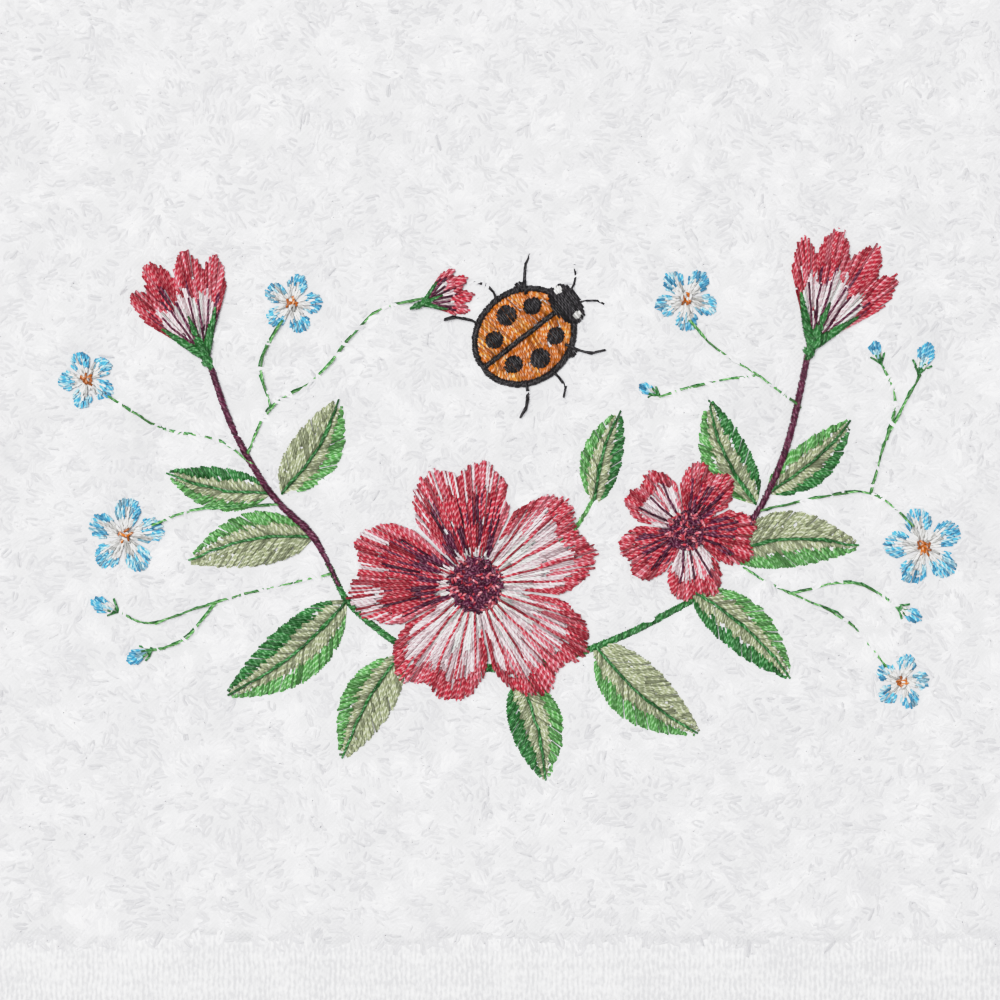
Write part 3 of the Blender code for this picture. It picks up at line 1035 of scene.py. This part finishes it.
LADYBIRD_PLACE = (3.0, 27.0)
LADYBIRD_TURN = 38.0  # the way that its head points, in degrees
LADYBIRD_LENGTH = 9.6  # half of the wing cases' length, and then half of their width
LADYBIRD_WIDTH = 8.4
LADYBIRD_HEAD = 9.8  # how far the middle of the head lies from the middle of the wing cases
HEAD_RADIUS = 4.3
HEAD_STRETCH = 0.62  # its length as a share of its width
CHEEK = (0.4, 2.9)  # each white cheek's place, forward and outward from the middle of the head
CHEEK_RADIUS = 0.75
WING_ROWS = ((0.03, 0.56), (0.44, 0.97))  # shares of the way from the middle line to the edge
WING_RAGGED = 0.12
LIGHTER_STITCHES = 0.3  # the share of them in the lighter orange
WING_LAYERS = (2.0, 2.4)
WING_SLANT = (0.9, 1.4)  # its stitches start forward of their place and run back
WING_START = 0.25  # at least this far from the middle line
RIM_WIDTH = 1.3
RIM_SLANT = 0.6
RIM_LAYER = 3.4
MIDDLE_LINE_WIDTH = 0.9
MIDDLE_LINE_LAYER = 4.2
SPOT_LAYER = 4.0
HEAD_LAYER = 3.8
CHEEK_LAYER = 5.0
DISC_OVER = 0.15  # a round spot's stitches run over its edge by this much
LEG_ROWS = ((1.8, 4.0), (2.3, 4.2))  # the stitch and the layer of each of a leg's rows, and then a feeler's
FEELER_ROW = (1.8, 4.2)
# One side's spots: how far forward and out they lie and their radius, as shares of those two halves
SPOTS = ((0.48, 0.42, 0.20), (-0.02, 0.60, 0.23), (-0.50, 0.34, 0.20), (0.52, 0.92, 0.12))
# One side's legs: where each starts, its knee and its foot, forward and outward
LEGS = (
    ((5.0, 6.0), (7.6, 9.8), (10.2, 11.2)),
    ((0.0, 8.0), (0.6, 11.4), (-1.2, 13.4)),
    ((-5.0, 6.6), (-7.0, 10.0), (-9.8, 11.4)),
)
FEELER = ((11.6, 1.2), (14.2, 2.6), (15.4, 4.8))

black = rayon("black_rayon", (0.016, 0.014, 0.016))
light_orange = rayon("light_orange_rayon", (0.780, 0.250, 0.020))


def on_ladybird(forward, outward):
    """A place on the ladybird, from how far forward and how far to its left it lies."""
    turn = math.radians(LADYBIRD_TURN)
    x = LADYBIRD_PLACE[0] + forward * math.cos(turn) - outward * math.sin(turn)
    return x, LADYBIRD_PLACE[1] + forward * math.sin(turn) + outward * math.cos(turn)


def disc(middle, radius, layer, thread, stretch=1.0):
    """A round spot of satin stitch, across the ladybird."""
    steps = max(4, round(2 * radius * stretch / STITCH_GAP))
    found = []
    for share in (np.arange(steps) + 0.5) / steps * 2.0 - 1.0:
        half = radius * math.sqrt(1.0 - share**2) + DISC_OVER
        forward = middle[0] + share * radius * stretch
        start, end = on_ladybird(forward, middle[1] - half), on_ladybird(forward, middle[1] + half)
        found.append((*start, *end, layer, thread))
    return found


bird = []
for side in (-1, 1):
    steps = int(2 * LADYBIRD_LENGTH / STITCH_GAP)
    for level, (near, far) in enumerate(WING_ROWS):
        for share in (np.arange(steps) + 0.5) / steps * 2.0 - 1.0:
            forward = share * LADYBIRD_LENGTH
            half = LADYBIRD_WIDTH * math.sqrt(1.0 - share**2)
            inner = half * (near + (sewing.uniform(-WING_RAGGED, WING_RAGGED) if level else 0.0))
            outer = half * (far + (0.0 if level else sewing.uniform(-WING_RAGGED, WING_RAGGED)))
            begins = forward + WING_SLANT[0] * near
            start = on_ladybird(begins, side * max(inner, WING_START))
            end = on_ladybird(begins - WING_SLANT[1] * (far - near), side * outer)
            thread = 1 if sewing.random() < LIGHTER_STITCHES else 0
            bird.append((*start, *end, WING_LAYERS[level], thread))
    for forward, outward, size in SPOTS:
        middle = (forward * LADYBIRD_LENGTH, side * outward * LADYBIRD_WIDTH)
        bird += disc(middle, size * LADYBIRD_WIDTH, SPOT_LAYER, 2)
    for leg in LEGS:
        route = [on_ladybird(forward, side * outward) for forward, outward in leg]
        for stitch, layer in LEG_ROWS:
            bird += running(route, stitch, layer, 2)
    feeler = [on_ladybird(forward, side * outward) for forward, outward in FEELER]
    bird += running(feeler, *FEELER_ROW, 2)
rim = [
    on_ladybird(LADYBIRD_LENGTH * math.cos(turn), LADYBIRD_WIDTH * math.sin(turn))
    for turn in np.linspace(0.0, math.tau, 25)
]
bird += satin(rim, [RIM_WIDTH] * 2, RIM_LAYER, 2, RIM_SLANT)
middle_line = [on_ladybird(forward, 0.0) for forward in (-LADYBIRD_LENGTH, LADYBIRD_LENGTH)]
bird += satin(middle_line, [MIDDLE_LINE_WIDTH] * 2, MIDDLE_LINE_LAYER, 2)
bird += disc((LADYBIRD_HEAD, 0.0), HEAD_RADIUS, HEAD_LAYER, 2, HEAD_STRETCH)
for side in (-1, 1):
    bird += disc((LADYBIRD_HEAD + CHEEK[0], side * CHEEK[1]), CHEEK_RADIUS, CHEEK_LAYER, 3)
sew("ladybird", bird, [orange, light_orange, black, off_white])


# ---- The pile ------------------------------------------------------------------------------------
# Every loop is one hairpin of soft cotton yarn, held by the ground at its two feet. The loops flop
# over, mostly sideways, in patches, and the embroidery presses them flat. Away from it fewer and
# thicker loops stand for them.

# One hairpin, from foot to foot: how far out along its lean, how far aside, how far up
HAIRPIN = (
    (0.00, -0.30, -0.20),
    (0.22, -0.50, 0.62),
    (0.75, -0.46, 1.00),
    (1.05, 0.00, 0.92),
    (0.75, 0.46, 1.00),
    (0.22, 0.50, 0.62),
    (0.00, 0.30, -0.20),
)
COARSE_HAIRPIN = (
    (0.00, -0.40, -0.20),
    (0.95, -0.38, 1.00),
    (0.95, 0.38, 1.00),
    (0.00, 0.40, -0.20),
)
CLOSE_UP = (-1.5, -178.1)  # the middle of the closely seen square of the towel, and half its side
CLOSE_UP_HALF = 92.5
LOOP_SPACING = 1.75
LOOP_YARN = 0.35  # half the yarn's thickness
LOOP_LENGTH = (1.5, 3.0)
LOOP_WIDTH = (0.8, 1.35)
LOOP_SOFTNESS = 1.15  # fuzzy yarn is shaded less round than it is, and no part of it as if it faced down
LEAST_UPWARD = 0.6
SQUARE_SHARE = 0.75  # of that softening, the share square to the loop; the rest is straight up
LOOP_TONES = ((0.572, 0.569, 0.592, 1.0), (0.98, 0.975, 1.0, 1.0))  # the dullest and the brightest, the ends of the loops' painted shade and light
TONE_CURVE = 1.7
STREAKS = 1.7  # how strongly the fibres streak the yarn, and their noise's scale along and around it
STREAK_STRETCH = (0.8, 4.0, 0.0)
STREAK_STARTS = 400.0  # and how far that noise differs between loops of different tones
LOOP_FUZZ = 4000.0  # the scale of the fuzz, to a metre, and its height
LOOP_FUZZ_RELIEF = 0.1
FOOT_SCATTER = 0.38
LEAST_PILE = 0.06  # loops stand where the pile's share is more than this
CLOSE_UP_MARGIN = 2.0  # how far the fine loops run on beyond the square, and over what they thin out
CLOSE_UP_FADE = 14.0
LEAN_BACK = 0.22  # the share of the loops that flop the other way than their patch
LEAN_SCATTER = 0.32  # in radians
EDGE_REACH = 4.0  # the loops this near to an edge of the pile tend to fall over it
EDGE_SLOPE = 0.2
EDGE_FALLS = 0.75  # the share of them that do
EDGE_SCATTER = 0.7
SEWN_OVER = 0.65  # a loop doesn't show if it would lie over cloth that is sewn this far, or stand in it
SEWN_AT_FOOT = 0.5
LOOP_HEIGHT = 1.05  # the loops' usual height as a share of the pile's
PATCH_LIFT = 0.26  # how much that differs from patch to patch, and from loop to loop
LOOP_LIFT = 0.25
LEAST_HEIGHT = 0.3
PRESSED_DOWN = 0.3  # the share of their height that the embroidery takes off those beside it
LOOP_TWIST = 0.6  # in radians
LOOP_BEND = 0.35
YARN_UNEVEN = 0.15
# Painted light and shade: loops that stand out are painted brightest, those beneath them and along an edge
# duller, with patches of painted shade
LOOP_TONE = 0.44
LIFT_PAINTED_LIGHT = 0.6
TONE_AND_SHADE_PATCHES = ((0.22, 3.0, 25), (0.08, 8.0, 26))
EDGE_SHADE_PAINT = 0.5
EDGE_SHADE_PAINT_REACH = 6.0
TONE_SCATTER = 0.12


def sewn_share(x, y):
    """How far the embroidery covers the cloth about a place, from 0 to 1."""
    column = ((x - MOTIF[0] + SEWN_HALF[0]) / SEWN_CELL).astype(int)
    row = ((y - MOTIF[1] + SEWN_HALF[1]) / SEWN_CELL).astype(int)
    inside = (column >= 0) & (row >= 0) & (column < pressed.shape[0]) & (row < pressed.shape[1])
    return inside * pressed[np.clip(column, 0, pressed.shape[0] - 1), np.clip(row, 0, pressed.shape[1] - 1)]


pressed = sewn_over.copy()
for _ in range(2):
    pressed[1:-1] = (pressed[:-2] + 2.0 * pressed[1:-1] + pressed[2:]) / 4.0
    pressed[:, 1:-1] = (pressed[:, :-2] + 2.0 * pressed[:, 1:-1] + pressed[:, 2:]) / 4.0


def loop_yarn():
    """Soft white cotton: loops painted in whites from dull to bright for their light and shade and their
    uneven tone, streaked by the fibres along their yarn.
    """
    material, tree, shader = new_material("loop_yarn", roughness=0.95, sheen=0.3)
    tone = add_node(tree, "ShaderNodeAttribute", attribute_name="tone").outputs["Fac"]
    yarn = add_node(tree, "ShaderNodeUVMap", uv_map="yarn").outputs["UV"]
    stretched = add_node(tree, "ShaderNodeVectorMath", {0: yarn, 1: STREAK_STRETCH}, operation="MULTIPLY")
    own = {"W": worked_out(tree, "MULTIPLY", tone, STREAK_STARTS)}
    fibres = noise(tree, stretched.outputs["Vector"], 1.0, 2.0, own, noise_dimensions="4D")
    share = worked_out(tree, "POWER", tone, TONE_CURVE)
    fibres = worked_out(tree, "SUBTRACT", fibres, 0.5)
    share = worked_out(tree, "MULTIPLY_ADD", fibres, STREAKS, share, clamp=True)
    tree.links.new(mixed(tree, share, *LOOP_TONES), shader.inputs["Base Color"])
    place = add_node(tree, "ShaderNodeTexCoord").outputs["Object"]
    add_relief(tree, shader, noise(tree, place, LOOP_FUZZ, 1.0), LOOP_FUZZ_RELIEF)
    return material


def loop_paths(hairpin, x, y, lean, length, width, height, twist, bend):
    """The points of every loop, and the direction square to each loop's plane."""
    out, aside, up = np.array(hairpin).T[:, None, :]
    cos_lean, sin_lean = np.cos(lean)[:, None], np.sin(lean)[:, None]
    length, width, height = length[:, None], width[:, None], height[:, None]
    aside = aside * width
    outward = out * length
    swerve = bend[:, None] * out**2
    sideways = aside * np.cos(twist)[:, None] + swerve
    rise = up * height + aside * np.sin(twist)[:, None] * np.clip(up, 0.0, 1.0)
    ground_z = ground_top(x, y)[:, None]
    paths = np.stack(
        [
            x[:, None] + cos_lean * outward - sin_lean * sideways,
            y[:, None] + sin_lean * outward + cos_lean * sideways,
            ground_z + rise,
        ],
        axis=-1,
    )
    # The plane holds the line across the loop's feet and the line from its feet to its far end.
    far = len(hairpin) // 2
    over = paths[:, far] - (paths[:, 0] + paths[:, -1]) / 2
    wide = paths[:, -2] - paths[:, 1]
    square = np.cross(over, wide)
    square *= np.where(square[:, 2:] < 0.0, -1.0, 1.0)
    return paths, square / (np.linalg.norm(square, axis=1, keepdims=True) + 1e-9)


def loop_feet(spacing, chance):
    """Places for loops all over the pile, in rows, each a little off its place."""
    xs = np.arange(-half_width, half_width, spacing)
    ys = np.arange(-half_length, half_length, spacing)
    x, y = np.meshgrid(xs, ys)
    x[1::2] += spacing / 2
    x = (x + chance.uniform(-FOOT_SCATTER, FOOT_SCATTER, x.shape) * spacing).ravel()
    y = (y + chance.uniform(-FOOT_SCATTER, FOOT_SCATTER, y.shape) * spacing).ravel()
    kept = (pile_share(x, y) > LEAST_PILE) & (np.abs(y) < half_length)
    return x[kept], y[kept]


def closeness(x, y):
    """1 in the closely seen square, falling to 0 a little way outside it."""
    beyond = np.maximum(np.abs(x - CLOSE_UP[0]), np.abs(y - CLOSE_UP[1])) - CLOSE_UP_HALF
    return 1.0 - smooth_step((beyond - CLOSE_UP_MARGIN) / CLOSE_UP_FADE)


def lean_of(x, y, chance):
    """The way each loop flops: sideways in most patches, lengthways in a few, and outwards at an edge."""
    count = len(x)
    sideways = 1.5 * drift(x, y, size=7.5, seed=21) + 0.5 * np.sign(drift(x, y, size=3.0, seed=22))
    lengthways = 0.75 * drift(x, y, size=9.0, seed=23)
    turned_back = math.pi * (chance.random(count) < LEAN_BACK)
    lean = np.arctan2(lengthways, sideways) + turned_back + chance.normal(0.0, LEAN_SCATTER, count)
    fall_x = pile_share(x - 1.0, y, EDGE_REACH) - pile_share(x + 1.0, y, EDGE_REACH)
    fall_y = pile_share(x, y - 1.0, EDGE_REACH) - pile_share(x, y + 1.0, EDGE_REACH)
    at_edge = (np.hypot(fall_x, fall_y) > EDGE_SLOPE) & (chance.random(count) < EDGE_FALLS)
    outwards = np.arctan2(fall_y, fall_x) + chance.normal(0.0, EDGE_SCATTER, count)
    return np.where(at_edge, outwards, lean)


def clear_of_stitches(x, y, lean, length):
    """Turns back the loops that would flop well over the embroidery, and says which loops still show."""
    over, other_over = (
        np.maximum(
            sewn_share(x + way * length * np.cos(lean), y + way * length * np.sin(lean)),
            sewn_share(x + way / 2 * length * np.cos(lean), y + way / 2 * length * np.sin(lean)),
        )
        for way in (1.0, -1.0)
    )
    lean = np.where((over > SEWN_OVER) & (over > other_over), lean + math.pi, lean)
    return lean, (sewn_share(x, y) < SEWN_AT_FOOT) & (np.minimum(over, other_over) < SEWN_OVER)


def grow_loops(name, hairpin, x, y, thickness, size, chance):
    """Makes the loops that stand at these places into a piece."""
    length = chance.uniform(*LOOP_LENGTH, len(x)) * size
    lean, shows = clear_of_stitches(x, y, lean_of(x, y, chance), length)
    x, y, lean, length = x[shows], y[shows], lean[shows], length[shows]
    count = len(x)
    width = chance.uniform(*LOOP_WIDTH, count) * size
    lift = PATCH_LIFT * drift(x, y, size=8.0, seed=24) + chance.normal(0.0, LOOP_LIFT, count)
    height = np.maximum(LOOP_STANDS * (LOOP_HEIGHT + lift), LEAST_HEIGHT)
    height *= 1.0 - PRESSED_DOWN * sewn_share(x, y)
    twist = chance.normal(0.0, LOOP_TWIST, count)
    bend = chance.normal(0.0, LOOP_BEND, count)
    paths, square = loop_paths(hairpin, x, y, lean, length, width, height, twist, bend)
    uneven = chance.uniform(1.0 - YARN_UNEVEN, 1.0 + YARN_UNEVEN, count)
    radii = np.repeat(thickness * uneven[:, None], len(hairpin) - 2, axis=1)
    # Painted light and shade: higher loops are painted brighter, patches lighter or duller, and loops near
    # an edge of the pile duller; the random scatter is their own uneven tone.
    tones = LOOP_TONE + LIFT_PAINTED_LIGHT * lift
    for strength, patch, seed in TONE_AND_SHADE_PATCHES:
        tones += strength * drift(x, y, patch, seed)
    tones -= EDGE_SHADE_PAINT * (1.0 - pile_share(x, y, EDGE_SHADE_PAINT_REACH))
    tones = np.clip(tones + chance.normal(0.0, TONE_SCATTER, count), 0.0, 1.0)
    piece = add_piece(name, thread_mesh(name, paths, radii, square, tones), loop_cotton)
    # Light passes through the loose fibres of a loop, so it casts next to no shadow on those beside it.
    piece.visible_shadow = False
    mesh = piece.data
    normals = np.zeros((len(mesh.vertices), 3), np.float32)
    mesh.vertex_normals.foreach_get("vector", normals.ravel())
    normals = normals.reshape(count, -1, 3)
    normals += LOOP_SOFTNESS * (SQUARE_SHARE * square + (0.0, 0.0, 1.0 - SQUARE_SHARE))[:, None]
    normals[:, :, 2] = np.maximum(normals[:, :, 2], LEAST_UPWARD)
    normals = (normals / np.linalg.norm(normals, axis=2, keepdims=True)).reshape(-1, 3)
    mesh.normals_split_custom_set_from_vertices(normals)


def parts_of(positions, names):
    """Parts of loops with equal numbers, each with its name, from the lowest position to the highest."""
    order = np.argsort(positions, kind="stable")
    return zip(names, np.array_split(order, len(names)))


loop_cotton = loop_yarn()
chance = np.random.default_rng(7)
x, y = loop_feet(LOOP_SPACING, chance)
fine = chance.random(len(x)) < closeness(x, y)
x, y = x[fine], y[fine]
for name, part in parts_of(x, ("pile_close_left", "pile_close_middle", "pile_close_right")):
    grow_loops(name, HAIRPIN, x[part], y[part], LOOP_YARN, 1.0, chance)

COARSE_SPACING = 2.65
COARSE_YARN = 0.46
COARSE_SIZE = 1.25
x, y = loop_feet(COARSE_SPACING, chance)
coarse = chance.random(len(x)) > closeness(x, y)
x, y = x[coarse], y[coarse]
for name, part in parts_of(y, ("pile_embroidered_end", "pile_plain_end")):
    grow_loops(name, COARSE_HAIRPIN, x[part], y[part], COARSE_YARN, COARSE_SIZE, chance)


# ---- The floor, the lights and the camera --------------------------------------------------------
# A plain pale floor under the towel, wide soft light from above, and a camera that looks straight
# down.

FLOOR_HALF = 9000.0
floor_shape = bmesh.new()
bmesh.ops.create_grid(floor_shape, x_segments=1, y_segments=1, size=FLOOR_HALF * MM)
floor_mesh = bpy.data.meshes.new("floor")
floor_shape.to_mesh(floor_mesh)
floor_shape.free()
floor_material, _, floor_shader = new_material("pale_floor", roughness=0.8)
floor_shader.inputs["Base Color"].default_value = (0.80, 0.80, 0.79, 1.0)
floor_mesh.materials.append(floor_material)
floor = bpy.data.objects.new("floor", floor_mesh)
bpy.context.scene.collection.objects.link(floor)


def add_area_light(name, place, aim, size, power):
    light = bpy.data.lights.new(name, "AREA")
    light.shape = "DISK"
    light.size = size
    light.energy = power
    lamp = bpy.data.objects.new(name, light)
    lamp.location = place
    lamp.rotation_euler = (Vector(aim) - Vector(place)).to_track_quat("-Z", "Y").to_euler()
    bpy.context.scene.collection.objects.link(lamp)
    return lamp


KEY_PLACE = (-0.42, 0.22, 1.8)  # from the middle of the close-up, in metres: to the upper left
KEY_SIZE = 1.2
KEY_POWER = 46.0
FILL_PLACE = (1.2, -0.7, 1.5)
FILL_SIZE = 1.8
FILL_POWER = 6.4
SKY = 0.29
# A photograph's soft shoulder, which keeps detail in the whites: scene light, and how bright it is shown
SHOULDER = (
    (0.0, 0.0),
    (0.25, 0.265),
    (0.5, 0.53),
    (0.75, 0.72),
    (1.0, 0.815),
    (1.25, 0.87),
    (1.5, 0.91),
    (2.5, 0.96),
)
CLIP_WHITE = SHOULDER[-1][0]

middle = Vector((CLOSE_UP[0] * MM, CLOSE_UP[1] * MM, 0.0))
add_area_light("key", middle + Vector(KEY_PLACE), middle, KEY_SIZE, KEY_POWER)
add_area_light("fill", middle + Vector(FILL_PLACE), middle, FILL_SIZE, FILL_POWER)

world = bpy.data.worlds.new("studio")
world.use_nodes = True
world.node_tree.nodes["Background"].inputs["Color"].default_value = (0.97, 0.985, 1.0, 1.0)
world.node_tree.nodes["Background"].inputs["Strength"].default_value = SKY
bpy.context.scene.world = world
view = bpy.context.scene.view_settings
view.view_transform = "Standard"
view.use_curve_mapping = True
view.curve_mapping.white_level = (CLIP_WHITE, CLIP_WHITE, CLIP_WHITE)
shown = view.curve_mapping.curves[3].points
for light, bright in SHOULDER[1:-1]:
    shown.new(light / CLIP_WHITE, bright)
shown[len(shown) - 1].location = (1.0, SHOULDER[-1][1])
view.curve_mapping.update()

CAMERA_LENS = 85.0
CAMERA_SENSOR = 36.0
PILE_TOP = 5.0
camera_data = bpy.data.cameras.new("camera")
camera_data.lens = CAMERA_LENS
camera_data.sensor_width = CAMERA_SENSOR
camera = bpy.data.objects.new("camera", camera_data)
camera_height = PILE_TOP + 2.0 * CLOSE_UP_HALF * CAMERA_LENS / CAMERA_SENSOR
camera.location = (CLOSE_UP[0] * MM, CLOSE_UP[1] * MM, camera_height * MM)
camera_data.clip_start = 0.01
bpy.context.scene.collection.objects.link(camera)
bpy.context.scene.camera = camera
